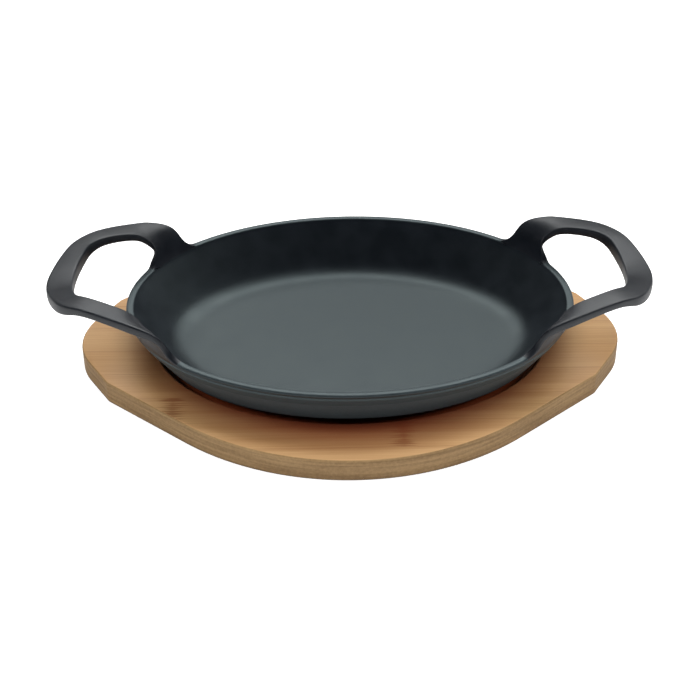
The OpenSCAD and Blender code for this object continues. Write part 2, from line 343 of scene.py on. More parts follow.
def lip_direction(k):
    """The direction in which the ear leaves the lip: that of the wall, leaning in."""
    angle = math.tau * (EAR_FIRST + k) / RING_STEPS
    normal = Vector((
        math.cos(angle) / RIM_HALF_LENGTH, math.sin(angle) / RIM_HALF_WIDTH, 0)).normalized()
    tangent = Vector((
        -RIM_HALF_LENGTH * math.sin(angle), RIM_HALF_WIDTH * math.cos(angle), 0)).normalized()
    wall = normal * math.cos(WALL_ANGLE) + Vector((0, 0, math.sin(WALL_ANGLE)))
    return (wall + tangent * mix(GAP_LEAN, -SIDE_LEAN, ACROSS_SHARES[k])).normalized()


def curve_with_pulls(start, goal, from_pull, to_pull, t):
    """A share t of the way from start to goal, on the curve with these two pulls."""
    return (
        start * (2 * t * t * t - 3 * t * t + 1) + goal * (3 * t * t - 2 * t * t * t)
        + from_pull * (t * t * t - 2 * t * t + t) + to_pull * (t * t * t - t * t))


def bulge(column, j):
    """How far a point of a column lies off the straight line between its ends."""
    return column[j] - mix(column[0], column[-1], SIDE_SHARES[j][0])


def ear_sections(rows):
    """The sections between the lip and the arm."""
    lip, arm = lip_section(), arm_section(rows, 0)
    into = (rows[1].centre - rows[0].centre).normalized()
    rise = Vector((0, 0, 2 * GAP_SINK / (SINK_ROWS * ROW_LENGTH)))
    sections = []
    for step in range(1, ROOT_STEPS):
        t = step / ROOT_STEPS
        ease = t * t * (3 - 2 * t)
        grid = []
        for k, across in enumerate(ACROSS_SHARES):
            from_pull = lip_direction(k) * mix(EAR_GAP_PULL, EAR_SIDE_PULL, across)
            to_pull = (into + rise * (1 - across) ** 2).normalized()
            to_pull *= mix(ARM_GAP_PULL, ARM_SIDE_PULL, across)
            top = curve_with_pulls(lip[k][0], arm[k][0], from_pull, to_pull, t)
            under = curve_with_pulls(lip[k][-1], arm[k][-1], from_pull, to_pull, t)
            grid.append([
                mix(top, under, share[0]) + mix(bulge(lip[k], j), bulge(arm[k], j), ease)
                for j, share in enumerate(SIDE_SHARES)])
        sections.append(grid)
    return sections


# The pan

# How far outside the lip's inner edge a face lies at least, if it is on the lip
LIP_MARGIN = 0.5

# Points nearer than this become one: where the quarters meet, and in the whole
MIRROR_MERGE = 0.05
CASTING_MERGE = 0.02


def turn_up_bowl():
    """The bowl as one closed ring of walls, raised ring by ring from the middle
    of its floor, over the lip and down to the middle of its base."""
    bpy.ops.object.select_all(action="DESELECT")
    half_length, half_width = ring_axes(SECTION[0])
    bpy.ops.mesh.primitive_circle_add(
        vertices=RING_STEPS, radius=1, fill_type="TRIFAN", location=(0, 0, SECTION[0][1] * MM))
    bowl = bpy.context.object
    bowl.name = "pan_casting"
    bpy.ops.object.transform_apply(location=True, rotation=True, scale=True)
    open_mesh(bowl, "VERT")
    bpy.ops.mesh.select_all(action="SELECT")
    bpy.ops.transform.resize(value=(half_length, half_width, 1), center_override=(0, 0, 0))
    bpy.ops.mesh.select_mode(type="EDGE")
    pick(bowl, "EDGE", lambda edge: edge.is_boundary)
    for place, next_place in zip(SECTION, SECTION[1:]):
        here, there = ring_axes(place), ring_axes(next_place)
        bpy.ops.mesh.extrude_region_move(
            TRANSFORM_OT_translate={"value": (0, 0, (next_place[1] - place[1]) * MM)})
        bpy.ops.transform.resize(
            value=(there[0] / here[0], there[1] / here[1], 1),
            center_override=(0, 0, next_place[1] * MM))
    bpy.ops.mesh.extrude_region_move()
    bpy.ops.mesh.merge(type="CENTER")
    close_mesh()
    return bowl


def keep_one_quarter(bowl):
    """Cuts the bowl to the quarter that the other three are mirrored from."""
    open_mesh(bowl, "VERT")
    for side in ((1, 0, 0), (0, 1, 0)):
        bpy.ops.mesh.select_all(action="SELECT")
        bpy.ops.mesh.bisect(plane_co=(0, 0, 0), plane_no=side, clear_inner=True)
    close_mesh()


def on_ear(face):
    """True for the faces of the lip that an ear grows from."""
    middle = face.calc_center_median()
    step = math.atan2(middle.y / RIM_HALF_WIDTH, middle.x / RIM_HALF_LENGTH) / math.tau * RING_STEPS
    if not EAR_FIRST < step < EAR_FIRST + EAR_STEPS or middle.z < LIP[0][1] * MM:
        return False
    inner = on_ring(inner_top, step).xy.length
    return middle.z > inner_top[1] * MM or middle.xy.length > inner + LIP_MARGIN * MM


def draw_out_handle(bowl):
    """Draws the ear's stretch of the lip out, section by section, into the ear,
    the arm and half of the bar."""
    rows = arm_rows()
    sections = ear_sections(rows) + [arm_section(rows, i) for i in range(len(rows))]
    before = [point * MM for column in lip_section() for point in column]
    open_mesh(bowl, "FACE")
    pick(bowl, "FACE", on_ear)
    bpy.ops.mesh.hide(unselected=True)
    for section in sections:
        bpy.ops.mesh.extrude_region_move()
        after = [point * MM for column in section for point in column]
        mesh = bmesh.from_edit_mesh(bowl.data)
        for vertex in mesh.verts:
            if vertex.select:
                nearest = min(
                    range(len(before)), key=lambda n: (vertex.co - before[n]).length_squared)
                vertex.co = after[nearest]
        bmesh.update_edit_mesh(bowl.data)
        before = after
    # The end of the half bar is open, and meets its mirror image there
    bpy.ops.mesh.delete(type="FACE")
    bpy.ops.mesh.select_all(action="SELECT")
    bowl.active_material_index = 1
    bpy.ops.object.material_slot_assign()
    bpy.ops.mesh.reveal()
    close_mesh()


def grow_casting():
    """The bowl and both handles in one smooth piece, with a material slot for each."""
    casting = turn_up_bowl()
    keep_one_quarter(casting)
    for name in ("bowl_faces", "handle_faces"):
        casting.data.materials.append(bpy.data.materials.new(name))
    draw_out_handle(casting)
    apply_modifier(
        casting, "MIRROR", use_axis=(True, True, False), use_clip=True,
        merge_threshold=MIRROR_MERGE * MM)
    open_mesh(casting, "FACE")
    bpy.ops.mesh.select_all(action="SELECT")
    bpy.ops.mesh.remove_doubles(threshold=CASTING_MERGE * MM)
    bpy.ops.mesh.normals_make_consistent(inside=False)
    close_mesh()
    apply_modifier(casting, "SUBSURF", levels=2, render_levels=2, use_limit_surface=False)
    select_only(casting)
    bpy.ops.object.shade_smooth()
    return casting


def cast_pan():
    """The casting cut into the bowl and its two handles where the ears leave the
    lip, with the shading of the whole kept over the cuts."""
    casting = grow_casting()
    select_only(casting)
    bpy.ops.object.duplicate()
    pattern = bpy.context.object
    pattern.name = "shading_pattern"

    # The handles reach further than the bowl
    bowl, handles = sorted(
        separate(casting, "MATERIAL"),
        key=lambda piece: max(vertex.co.x for vertex in piece.data.vertices))
    left, right = sorted(
        separate(handles, "LOOSE"), key=lambda piece: piece.data.vertices[0].co.x)
    pieces = {"bowl": bowl, "left_loop_handle": left, "right_loop_handle": right}
    for name, piece in pieces.items():
        piece.name = name
        piece.data.name = name
        # The cut at each ear is closed, and stays out of the shading round it
        open_mesh(piece, "EDGE")
        pick(piece, "EDGE", lambda edge: edge.is_boundary)
        bpy.ops.mesh.mark_sharp()
        bpy.ops.mesh.edge_face_add()
        close_mesh()
        apply_modifier(
            piece, "DATA_TRANSFER", object=pattern, use_loop_data=True,
            data_types_loops={"CUSTOM_NORMAL"}, loop_mapping="NEAREST_POLYNOR")
        piece.data.materials.clear()
    bpy.data.objects.remove(pattern)
    return pieces


# The board's sizes

BOARD_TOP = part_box("upper_strip_6")[1][2] / MM
BOARD_HALF_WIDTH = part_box("upper_strip_11")[1][1] / MM
LAYER_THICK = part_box("lower_strip_5")[1][2] / MM
STRIP_COUNT = 10
STRIP_WIDTH = 2 * BOARD_HALF_WIDTH / STRIP_COUNT
EDGE_RADIUS = 0.9
EDGE_STEPS = 4
RECESS_EDGE_RADIUS = 1.4
RECESS_SIDE_GAP = 3.5
RECESS_END_GAP = 1
RECESS_STEPS = 160

# In a layer's outline, points nearer than this become one, and those that bend
# it by less than this angle are left out
LAYER_MERGE = 0.005
LAYER_ANGLE = math.radians(0.2)

# How far a cutting tool reaches past what it cuts, and the saw's two other sizes
OVERRUN = 1
SAW_LENGTH = 500
SAW_HEIGHT = 100

# The least share of a face's normal that lies along an axis, for a face that is
# square to it: exactly, nearly and roughly
EXACTLY_SQUARE = 0.9999
NEARLY_SQUARE = 0.999
ROUGHLY_SQUARE = 0.9

# The flat faces this near the board's long sides belong to its outline
SIDE_DEPTH = 0.1

# Where along the board's length a strip has a knuckle. The other strips have
# theirs far off the board, so that none shows.
KNUCKLES = {
    "upper_bamboo_2": 25, "upper_bamboo_3": -93, "upper_bamboo_9": -40, "upper_bamboo_10": 88}
NO_KNUCKLE = 1000


# The board

def rounded_layer(low_z, rounded_z):
    """One layer of the board in a single piece, drawn up from the outline that
    the strips have together, with its outer edge rounded at rounded_z."""
    copies = []
    for node_name in sorted(frame["nodes"]):
        if node_name.startswith("lower_strip"):
            select_only(frame["nodes"][node_name])
            bpy.ops.object.duplicate()
            copies.append(bpy.context.object)
    for piece in copies:
        piece.select_set(True)
    bpy.ops.object.join()
    layer = bpy.context.object
    layer.data.materials.clear()
    bpy.ops.mesh.customdata_custom_splitnormals_clear()
    # Only the undersides stay, and become one outline
    open_mesh(layer, "FACE")
    pick(layer, "FACE", lambda face: face.normal.z > -NEARLY_SQUARE)
    bpy.ops.mesh.delete(type="FACE")
    bpy.ops.mesh.select_all(action="SELECT")
    bpy.ops.mesh.remove_doubles(threshold=LAYER_MERGE * MM)
    bpy.ops.mesh.dissolve_limited(angle_limit=LAYER_ANGLE)
    bpy.ops.transform.translate(value=(0, 0, low_z * MM))
    bpy.ops.mesh.extrude_region_move(
        TRANSFORM_OT_translate={"value": (0, 0, LAYER_THICK * MM)})
    bpy.ops.mesh.select_all(action="SELECT")
    bpy.ops.mesh.normals_make_consistent(inside=False)
    bpy.ops.mesh.select_mode(type="EDGE")
    pick(layer, "EDGE", lambda edge: all(
        abs(vertex.co.z - rounded_z * MM) < ON_PLANE * MM for vertex in edge.verts))
    bpy.ops.mesh.bevel(
        offset=EDGE_RADIUS * MM, segments=EDGE_STEPS, profile=0.5, affect="EDGES")
    close_mesh()
    return layer


def shape_mill():
    """The body of air in the recess: an oval block that widens to the recess's
    rounded edge at its top."""
    half_length, half_width = ring_axes((wall_at(outer_top, BOARD_TOP)[0], BOARD_TOP))
    half_length, half_width = half_length + RECESS_END_GAP * MM, half_width + RECESS_SIDE_GAP * MM
    bpy.ops.object.select_all(action="DESELECT")
    bpy.ops.mesh.primitive_cylinder_add(
        vertices=RECESS_STEPS, radius=1, depth=1, end_fill_type="NGON", location=(0, 0, 0))
    mill = bpy.context.object
    open_mesh(mill, "FACE")
    bpy.ops.mesh.select_all(action="SELECT")
    low_z, side_z = BASE_Z * MM, (BOARD_TOP - RECESS_EDGE_RADIUS) * MM
    bpy.ops.transform.resize(value=(half_length, half_width, side_z - low_z))
    bpy.ops.transform.translate(value=(0, 0, (low_z + side_z) / 2))
    pick(mill, "FACE", lambda face: face.normal.z > ROUGHLY_SQUARE)
    steps = [math.radians(90) * i / EDGE_STEPS for i in range(EDGE_STEPS + 1)]
    radius = RECESS_EDGE_RADIUS * MM
    for before, after in zip(steps, steps[1:]):
        wider = [radius * (1 - math.cos(angle)) for angle in (before, after)]
        bpy.ops.mesh.extrude_region_move(TRANSFORM_OT_translate={
            "value": (0, 0, radius * (math.sin(after) - math.sin(before)))})
        bpy.ops.transform.resize(
            value=[(half + wider[1]) / (half + wider[0]) for half in (half_length, half_width)] + [1],
            center_override=(0, 0, 0))
    bpy.ops.mesh.extrude_region_move(TRANSFORM_OT_translate={"value": (0, 0, OVERRUN * MM)})
    close_mesh()
    return mill


def mill_recess(layer):
    """Mills the oval recess that the pan stands in, with a rounded edge."""
    mill = shape_mill()
    apply_modifier(layer, "BOOLEAN", object=mill, operation="DIFFERENCE", solver="EXACT")
    bpy.data.objects.remove(mill)


def cut_strip(layer, node_name):
    """The strip of a layer that stands for one CAD strip."""
    low_y, high_y = (corner[1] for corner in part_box(node_name))
    half_width, overrun = BOARD_HALF_WIDTH * MM, OVERRUN * MM
    low_y = low_y - overrun if low_y < overrun - half_width else low_y
    high_y = high_y + overrun if high_y > half_width - overrun else high_y
    select_only(layer)
    bpy.ops.object.duplicate()
    strip = bpy.context.object
    strip.name = node_name.replace("strip", "bamboo")
    strip.data.name = strip.name
    bpy.ops.object.select_all(action="DESELECT")
    bpy.ops.mesh.primitive_cube_add(size=1, location=(0, (low_y + high_y) / 2, 0))
    saw = bpy.context.object
    open_mesh(saw, "FACE")
    bpy.ops.mesh.select_all(action="SELECT")
    bpy.ops.transform.resize(
        value=(SAW_LENGTH * MM, high_y - low_y, SAW_HEIGHT * MM),
        center_override=(0, (low_y + high_y) / 2, 0))
    close_mesh()
    apply_modifier(strip, "BOOLEAN", object=saw, operation="INTERSECT", solver="EXACT")
    bpy.data.objects.remove(saw)
    shade_strip(strip, (low_y, high_y))
    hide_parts(node_name)
    return strip


def shade_strip(strip, joints):
    """Smooth shading on the round edges and the curved outline alone. The joints
    are the planes along which the strip was cut."""
    select_only(strip)
    bpy.ops.object.shade_smooth()
    open_mesh(strip, "FACE")
    pick(strip, "FACE", lambda face: abs(face.normal.z) > NEARLY_SQUARE or (
        abs(face.normal.y) > EXACTLY_SQUARE
        and min(abs(face.calc_center_median().y - y) for y in joints) < ON_PLANE * MM))
    bpy.ops.mesh.faces_shade_flat()
    bpy.ops.mesh.select_mode(type="EDGE")
    pick(strip, "EDGE", lambda edge: any(
        all(abs(vertex.co.y - y) < ON_PLANE * MM for vertex in edge.verts) for y in joints))
    bpy.ops.mesh.mark_sharp()
    close_mesh()


def on_outline(face):
    """True for the upright faces on the board's outside, and not in a joint or
    the recess."""
    middle = face.calc_center_median()
    if abs(face.normal.z) >= ROUGHLY_SQUARE:
        return False
    if abs(face.normal.y) > EXACTLY_SQUARE and abs(middle.y) < (BOARD_HALF_WIDTH - SIDE_DEPTH) * MM:
        return False
    return face.normal.xy.dot(middle.xy) > 0


def make_board():
    """The two layers, each rounded as one and then cut into its strips."""
    layers = {
        "upper": rounded_layer(LAYER_THICK, BOARD_TOP), "lower": rounded_layer(0, 0)}
    mill_recess(layers["upper"])
    strips = []
    for layer_name, layer in layers.items():
        for node_name in list(frame["nodes"]):
            if node_name.startswith(layer_name):
                strips.append(cut_strip(layer, node_name))
        bpy.data.objects.remove(layer)
    return strips


# Materials

# Which of a Mix node's outputs is its colour
MIXED_COLOUR = 2

# The oval round which the board is painted darker and red-brown, as painted shade where the pan's
# shadow falls
PAINTED_SHADE_HALF_LENGTH = 93
PAINTED_SHADE_HALF_WIDTH = 76.5


def colour(code):
    """An sRGB hex colour as the linear numbers that a shader reads."""
    parts = [int(code[i:i + 2], 16) / 255 for i in (1, 3, 5)]
    return [p / 12.92 if p <= 0.04045 else ((p + 0.055) / 1.055) ** 2.4 for p in parts] + [1]


def new_material(name):
    material = bpy.data.materials.new(name)
    material.use_nodes = True
    material.node_tree.nodes.clear()
    return material


def pattern_scale(*sizes):
    """The scale along each axis at which a pattern has these sizes in millimetres."""
    return [1 / (size * MM) for size in sizes]


def add(material, kind, inputs=None, **settings):
    """Adds a node. An input is a number, a colour or another node's socket."""
    node = material.node_tree.nodes.new(kind)
    for name, value in settings.items():
        setattr(node, name, value)
    for name, value in (inputs or {}).items():
        socket = node.inputs[name]
        if isinstance(value, bpy.types.NodeSocket):
            material.node_tree.links.new(value, socket)
        else:
            socket.default_value = value
    return node


def film_and_painted_light(iron, place, skin):
    """The bowl's outer film and painted light on its skin. Outside, below the lip,
    the skin is a lighter grey: partly a dull film of oil, partly painted light that
    the outer wall catches from below, and the lip's outer side above it stays
    dark as a painted shade line. The lip's top is lighter, partly rubbed wear and
    partly a painted highlight, and the wall below the collar is lighter as a
    painted reflection of the lit board."""
    # How far out a point lies in the oval that runs through the middle of the
    # wall at its height: more than 1 is outside
    apart = add(iron, "ShaderNodeSeparateXYZ", {"Vector": place})
    inset = add(iron, "ShaderNodeMath", {
        0: apart.outputs["Z"], 1: -1 / math.tan(WALL_ANGLE),
        2: (RIM_Z + MIDDLE_RISE) * MM / math.tan(WALL_ANGLE)}, operation="MULTIPLY_ADD")
    half_length = add(iron, "ShaderNodeMath", {
        0: inset.outputs["Value"], 1: -END_SLOPE, 2: RIM_HALF_LENGTH * MM},
        operation="MULTIPLY_ADD")
    half_width = add(iron, "ShaderNodeMath", {
        0: RIM_HALF_WIDTH * MM, 1: inset.outputs["Value"]}, operation="SUBTRACT")
    share_x = add(iron, "ShaderNodeMath", {
        0: apart.outputs["X"], 1: half_length.outputs["Value"]}, operation="DIVIDE")
    share_y = add(iron, "ShaderNodeMath", {
        0: apart.outputs["Y"], 1: half_width.outputs["Value"]}, operation="DIVIDE")
    in_oval = add(iron, "ShaderNodeCombineXYZ", {
        "X": share_x.outputs["Value"], "Y": share_y.outputs["Value"]})
    reach = add(iron, "ShaderNodeVectorMath", {0: in_oval.outputs["Vector"]}, operation="LENGTH")
    outside = add(iron, "ShaderNodeMapRange", {
        "Value": reach.outputs["Value"], "From Min": 0.995, "From Max": 1.005})

    # Painted light: the lighter grey outside below the lip is partly a dull film of oil and partly
    # the light the outer wall catches from below; the lip's outer side above it stays dark, as a
    # painted shade line.
    below_lip = add(iron, "ShaderNodeMapRange", {
        "Value": apart.outputs["Z"], "From Min": (RIM_Z - 3) * MM, "From Max": (RIM_Z - 4) * MM})
    dull_film_and_light = add(iron, "ShaderNodeMath", {
        0: outside.outputs["Result"], 1: below_lip.outputs["Result"]}, operation="MULTIPLY")
    skin = add(iron, "ShaderNodeMix", {
        "Factor": dull_film_and_light.outputs["Value"], "A": skin, "B": colour("#2a3438")},
        data_type="RGBA").outputs[MIXED_COLOUR]

    # Painted highlight: the lighter top of the lip, partly rubbed wear.
    lip_wear_and_highlight = add(iron, "ShaderNodeMapRange", {
        "Value": apart.outputs["Z"], "From Min": (RIM_Z - 0.9) * MM, "From Max": (RIM_Z - 0.4) * MM,
        "To Max": 0.35})
    # Painted reflection: the wall below the collar is lighter, standing for the light that the board
    # throws onto it.
    painted_wall_reflection = add(iron, "ShaderNodeMapRange", {
        "Value": apart.outputs["Z"], "From Min": COLLAR_Z * MM, "From Max": (COLLAR_Z - 1) * MM,
        "To Max": 0.6})
    painted_wall_reflection = add(iron, "ShaderNodeMath", {
        0: painted_wall_reflection.outputs["Result"], 1: outside.outputs["Result"]}, operation="MULTIPLY")
    wear_and_painted_light = add(iron, "ShaderNodeMath", {
        0: lip_wear_and_highlight.outputs["Result"], 1: painted_wall_reflection.outputs["Value"]}, operation="MAXIMUM")
    return add(iron, "ShaderNodeMix", {
        "Factor": wear_and_painted_light.outputs["Value"], "A": skin, "B": colour("#434b4e")},
        data_type="RGBA").outputs[MIXED_COLOUR]


def make_cast_iron(name, sheen_tint, bowl_light_and_film):
    """Seasoned grey cast iron: poured in sand, so finely grained, under a thin
    baked-on film of oil. It is nearly black, with a soft grey sheen that is cold
    where the film is whole and neutral where hands have rubbed it. The eye sees
    the film and not bare metal, so the shader isn't metallic and has the IOR of
    baked oil. The bowl's iron also has its dull outer film, and painted light on
    its lip and walls."""
    iron = new_material(name)
    place = add(iron, "ShaderNodeTexCoord").outputs["Object"]
    # Sand grain, drawn at about 0.7 mm, where real grain has 0.3 mm, so that it shows
    grain = add(iron, "ShaderNodeTexNoise", {
        "Vector": place, "Scale": 1400.0, "Detail": 3.0, "Roughness": 0.6})
    # Slow waves of the casting skin, about 12 mm
    waves = add(iron, "ShaderNodeTexNoise", {
        "Vector": place, "Scale": 85.0, "Detail": 2.0, "Roughness": 0.5})
    tone = add(iron, "ShaderNodeMapRange", {
        "Value": waves.outputs["Fac"], "From Min": 0.35, "From Max": 0.65})
    skin = add(iron, "ShaderNodeMix", {
        "Factor": tone.outputs["Result"], "A": colour("#0d1016"), "B": colour("#14171d")},
        data_type="RGBA").outputs[MIXED_COLOUR]
    # The bowl's dull outer film, with a painted highlight on the lip, a painted reflection on the
    # lower wall and a painted shade line under the lip
    if bowl_light_and_film:
        skin = film_and_painted_light(iron, place, skin)
    rough = add(iron, "ShaderNodeMapRange", {
        "Value": waves.outputs["Fac"], "From Min": 0.3, "From Max": 0.7,
        "To Min": 0.45, "To Max": 0.51})
    heights = add(iron, "ShaderNodeMath", {
        0: grain.outputs["Fac"], 1: 0.6, 2: waves.outputs["Fac"]}, operation="MULTIPLY_ADD")
    bump = add(iron, "ShaderNodeBump", {
        "Height": heights.outputs["Value"], "Strength": 0.6, "Distance": 0.0001})
    shader = add(iron, "ShaderNodeBsdfPrincipled", {
        "Base Color": skin, "Roughness": rough.outputs["Result"], "IOR": 1.6,
        "Specular Tint": colour(sheen_tint), "Normal": bump.outputs["Normal"]})
    add(iron, "ShaderNodeOutputMaterial", {"Surface": shader.outputs["BSDF"]})
    return iron


def make_bamboo():
    """Pressed and carbonised bamboo, sanded and oiled: straight fine fibres
    along strips of slightly different tone, a thin dark glue line between them,
    a knuckle across a strip now and then, and a dark red-brown border round the
    recess that is painted shade, where the pan's shadow falls."""
    bamboo = new_material("oiled_bamboo")
    place = add(bamboo, "ShaderNodeTexCoord").outputs["Object"]
    apart = add(bamboo, "ShaderNodeSeparateXYZ", {"Vector": place})

    # Fibre bundles 70 mm long and 0.8 mm across, which is twice as coarse as
    # they are, so that they show
    along = add(bamboo, "ShaderNodeMapping", {
        "Vector": place, "Scale": pattern_scale(70, 0.8, 1.2)})
    fibres = add(bamboo, "ShaderNodeTexNoise", {
        "Vector": along.outputs["Vector"], "Scale": 1.0, "Detail": 3.0, "Roughness": 0.6})
    # Bands of tone 200 mm long and 5 mm across
    along = add(bamboo, "ShaderNodeMapping", {
        "Vector": place, "Scale": pattern_scale(200, 5, 8)})
    bands = add(bamboo, "ShaderNodeTexNoise", {
        "Vector": along.outputs["Vector"], "Scale": 1.0, "Detail": 1.0, "Roughness": 0.5})
    grain = add(bamboo, "ShaderNodeMath", {
        0: bands.outputs["Fac"], 1: 0.6, 2: fibres.outputs["Fac"]}, operation="MULTIPLY_ADD")
    grain = add(bamboo, "ShaderNodeMapRange", {
        "Value": grain.outputs["Value"], "From Min": 0.5, "From Max": 1.1})
    wood = add(bamboo, "ShaderNodeMix", {
        "Factor": grain.outputs["Result"], "A": colour("#ab8254"), "B": colour("#c29b6b")},
        data_type="RGBA")

    # Each strip of the upper layer has its own tone. Its joints lie at whole
    # numbers of strip_place.
    strip_place = add(bamboo, "ShaderNodeMath", {
        0: apart.outputs["Y"], 1: 1 / (STRIP_WIDTH * MM), 2: (STRIP_COUNT - 1) / 2},
        operation="MULTIPLY_ADD")
    strip_number = add(bamboo, "ShaderNodeMath", {
        0: strip_place.outputs["Value"]}, operation="FLOOR")
    strip_tone = add(bamboo, "ShaderNodeTexWhiteNoise", {
        "W": strip_number.outputs["Value"]}, noise_dimensions="1D")
    share = add(bamboo, "ShaderNodeMath", {
        0: strip_tone.outputs["Value"], 1: 0.2}, operation="MULTIPLY")
    wood = add(bamboo, "ShaderNodeMix", {
        "Factor": share.outputs["Value"], "A": wood.outputs[MIXED_COLOUR], "B": colour("#a5723f")},
        data_type="RGBA")

    # Glue lines, 0.6 mm wide where real ones have 0.2 mm, so that they show
    to_line = add(bamboo, "ShaderNodeMath", {
        0: strip_place.outputs["Value"], 1: 0.5}, operation="PINGPONG")
    line = add(bamboo, "ShaderNodeMapRange", {
        "Value": to_line.outputs["Value"], "From Min": 0.008, "From Max": 0.02,
        "To Min": 0.3, "To Max": 0.0})
    wood = add(bamboo, "ShaderNodeMix", {
        "Factor": line.outputs["Result"], "A": wood.outputs[MIXED_COLOUR], "B": colour("#7d5230")},
        data_type="RGBA")

    # The knuckle: a dark bar across the strip, about 12 mm wide, which frays out
    # along the fibres
    knuckle = add(bamboo, "ShaderNodeAttribute", attribute_type="OBJECT", attribute_name="knuckle")
    off_knuckle = add(bamboo, "ShaderNodeMath", {
        0: apart.outputs["X"], 1: knuckle.outputs["Fac"]}, operation="SUBTRACT")
    off_knuckle = add(bamboo, "ShaderNodeMath", {
        0: off_knuckle.outputs["Value"]}, operation="ABSOLUTE")
    streak = add(bamboo, "ShaderNodeMath", {
        0: fibres.outputs["Fac"], 1: 0.03, 2: off_knuckle.outputs["Value"]},
        operation="MULTIPLY_ADD")
    mark = add(bamboo, "ShaderNodeMapRange", {
        "Value": streak.outputs["Value"], "From Min": 0.015, "From Max": 0.021,
        "To Min": 0.6, "To Max": 0.0}, interpolation_type="SMOOTHSTEP")
    wood = add(bamboo, "ShaderNodeMix", {
        "Factor": mark.outputs["Result"], "A": wood.outputs[MIXED_COLOUR], "B": colour("#6e3a1c")},
        data_type="RGBA")

    # Painted shade: a dark red-brown border round the recess, where the pan's shadow falls, widest
    # along the pan's long sides
    oval = add(bamboo, "ShaderNodeMapping", {
        "Vector": place, "Scale": pattern_scale(PAINTED_SHADE_HALF_LENGTH, PAINTED_SHADE_HALF_WIDTH) + [0]})
    reach = add(bamboo, "ShaderNodeVectorMath", {0: oval.outputs["Vector"]}, operation="LENGTH")
    reach = add(bamboo, "ShaderNodeMath", {
        0: bands.outputs["Fac"], 1: 0.06, 2: reach.outputs["Value"]}, operation="MULTIPLY_ADD")
    painted_shade = add(bamboo, "ShaderNodeMapRange", {
        "Value": reach.outputs["Value"], "From Min": 1.05, "From Max": 1.34,
        "To Min": 0.95, "To Max": 0.0})
    wood = add(bamboo, "ShaderNodeMix", {
        "Factor": painted_shade.outputs["Result"], "A": wood.outputs[MIXED_COLOUR], "B": colour("#7c351d")},
        data_type="RGBA")

    bump = add(bamboo, "ShaderNodeBump", {
        "Height": fibres.outputs["Fac"], "Strength": 0.2, "Distance": 0.0001})
    shader = add(bamboo, "ShaderNodeBsdfPrincipled", {
        "Base Color": wood.outputs[MIXED_COLOUR], "Roughness": 0.5, "IOR": 1.45,
        "Normal": bump.outputs["Normal"]})
    add(bamboo, "ShaderNodeOutputMaterial", {"Surface": shader.outputs["BSDF"]})
    return bamboo


def make_bamboo_edge():
    """The sawn and sanded side of the board, where cut fibre ends make the
    bamboo khaki and finely mottled, with a painted shade line along its lower
    edge, where it meets the floor."""
    edge = new_material("sawn_bamboo_edge")
    place = add(edge, "ShaderNodeTexCoord").outputs["Object"]
    # Streaks of the layers, 60 mm long and 1.5 mm high
    along = add(edge, "ShaderNodeMapping", {
        "Vector": place, "Scale": pattern_scale(60, 20, 1.5)})
    streaks = add(edge, "ShaderNodeTexNoise", {
        "Vector": along.outputs["Vector"], "Scale": 1.0, "Detail": 2.0, "Roughness": 0.5})
    # Fibre ends, drawn at 1.5 mm where real ones have 0.5 mm, so that they show
    ends = add(edge, "ShaderNodeTexNoise", {
        "Vector": place, "Scale": 650.0, "Detail": 2.0, "Roughness": 0.6})
    grain = add(edge, "ShaderNodeMath", {
        0: ends.outputs["Fac"], 1: 0.5, 2: streaks.outputs["Fac"]}, operation="MULTIPLY_ADD")
    grain = add(edge, "ShaderNodeMapRange", {
        "Value": grain.outputs["Value"], "From Min": 0.55, "From Max": 0.95})
    wood = add(edge, "ShaderNodeMix", {
        "Factor": grain.outputs["Result"], "A": colour("#755b3b"), "B": colour("#947852")},
        data_type="RGBA")
    height = add(edge, "ShaderNodeSeparateXYZ", {"Vector": place})
    # Painted shade: darker along the rounded lower edge, where it meets the floor
    bottom_shade = add(edge, "ShaderNodeMapRange", {
        "Value": height.outputs["Z"], "From Min": 0.0004, "From Max": 0.0016,
        "To Min": 0.7, "To Max": 0.0})
    wood = add(edge, "ShaderNodeMix", {
        "Factor": bottom_shade.outputs["Result"], "A": wood.outputs[MIXED_COLOUR], "B": colour("#4d3a24")},
        data_type="RGBA")
    shader = add(edge, "ShaderNodeBsdfPrincipled", {
        "Base Color": wood.outputs[MIXED_COLOUR], "Roughness": 0.6, "IOR": 1.45})
    add(edge, "ShaderNodeOutputMaterial", {"Surface": shader.outputs["BSDF"]})
    return edge


# The object

# The bowl's iron carries painted light on its lip and walls; the handles' iron carries none
bowl_iron = make_cast_iron("seasoned_cast_iron", "#e8ffff", bowl_light_and_film=True)
handle_iron = make_cast_iron("rubbed_cast_iron", "#fcffff", bowl_light_and_film=False)
bamboo = make_bamboo()
bamboo_edge = make_bamboo_edge()

CAST_NODES = {
    "bowl": "pan_bowl", "left_loop_handle": "left_handle", "right_loop_handle": "right_handle"}

for name, piece in cast_pan().items():
    piece.data.materials.append(bowl_iron if name == "bowl" else handle_iron)
    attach(piece, "pan")
    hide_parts(CAST_NODES[name])

for strip in make_board():
    strip.data.materials.append(bamboo)
    strip.data.materials.append(bamboo_edge)
    strip["knuckle"] = KNUCKLES.get(strip.name, NO_KNUCKLE) * MM
    open_mesh(strip, "FACE")
    pick(strip, "FACE", on_outline)
    strip.active_material_index = 1
    bpy.ops.object.material_slot_assign()
    close_mesh()
    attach(strip, "board")


# The studio, in metres

FLOOR_SIZE = 3
WIDE_CARD = (2.6, 0.1)
WIDE_BOX = (2.6, 1.0)
FILL_BOX = (1.6, 0.8)
SIDE_BOX = (0.6, 0.6)

